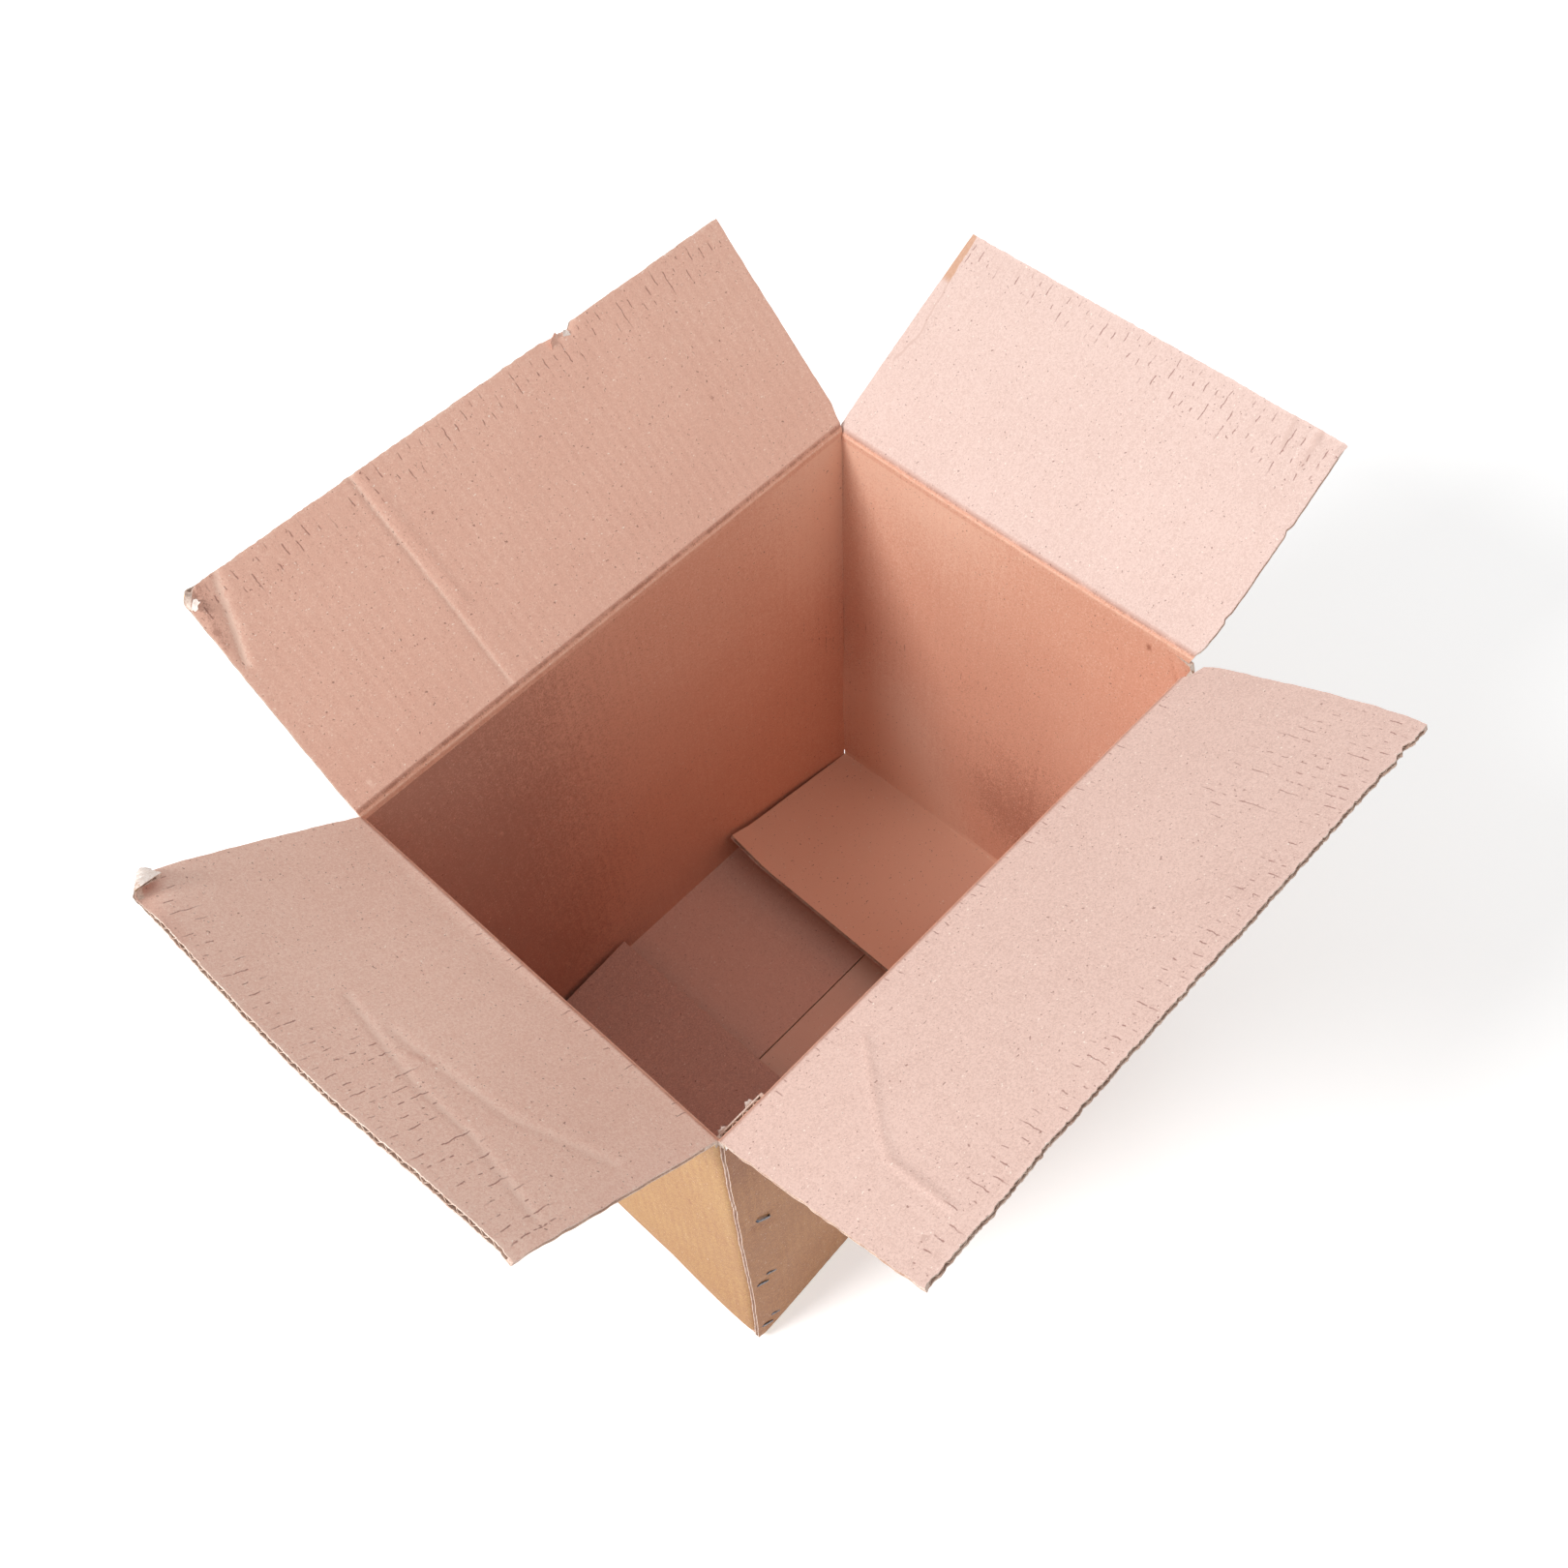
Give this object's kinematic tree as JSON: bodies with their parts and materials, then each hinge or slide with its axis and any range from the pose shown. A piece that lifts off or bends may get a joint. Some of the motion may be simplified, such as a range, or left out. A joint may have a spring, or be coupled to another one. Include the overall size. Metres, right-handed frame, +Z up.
{
  "type": "open corrugated cardboard box",
  "caption": "Tall open shipping box of corrugated board, lid flaps folded outward, corner joint fastened with wire stitches, bottom seam taped.",
  "frame": {"origin": "middle of the underside, on the surface that the box stands on", "axes": "+Z up, X along the long walls, Y along the short walls; the stitched joint is at the corner at -X, -Y"},
  "size_m": [0.6622, 0.5397, 0.5101],
  "materials": {
    "board": "matte kraft liner",
    "tape": "thin brown film",
    "wire": "dull flat wire"
  },
  "bodies": {
    "carton": {"carton": "board", "bottom_tape": "tape", "stitch_1_near": "wire", "stitch_1_far": "wire", "stitch_2_near": "wire", "stitch_2_far": "wire", "stitch_3": "wire", "stitch_4": "wire"},
    "front_flap": {"front_flap": "board"},
    "back_flap": {"back_flap": "board"},
    "left_flap": {"left_flap": "board"},
    "right_flap": {"right_flap": "board"},
    "left_bottom_flap": {"left_bottom_flap": "board"},
    "right_bottom_flap": {"right_bottom_flap": "board"}
  },
  "joints": [
    {"name": "front_flap_crease", "type": "hinge", "parent": "carton", "child": "front_flap", "pos_m": [0, -0.15, 0.4], "axis": [1, 0, 0], "range_deg": [-155.2, 109.8]},
    {"name": "back_flap_crease", "type": "hinge", "parent": "carton", "child": "back_flap", "pos_m": [0, 0.15, 0.4], "axis": [-1, 0, 0], "range_deg": [-134.1, 130.9]},
    {"name": "left_flap_crease", "type": "hinge", "parent": "carton", "child": "left_flap", "pos_m": [-0.21, 0, 0.3956], "axis": [0, -1, 0], "range_deg": [-143.4, 121.6]},
    {"name": "right_flap_crease", "type": "hinge", "parent": "carton", "child": "right_flap", "pos_m": [0.21, 0, 0.3956], "axis": [0, 1, 0], "range_deg": [-144.8, 120.2]},
    {"name": "left_bottom_crease", "type": "hinge", "parent": "carton", "child": "left_bottom_flap", "pos_m": [-0.206, 0, 0.0084], "axis": [0, -1, 0], "range_deg": [-8, 72]},
    {"name": "right_bottom_crease", "type": "hinge", "parent": "carton", "child": "right_bottom_flap", "pos_m": [0.206, 0, 0.0084], "axis": [0, 1, 0], "range_deg": [-11, 69]}
  ]
}
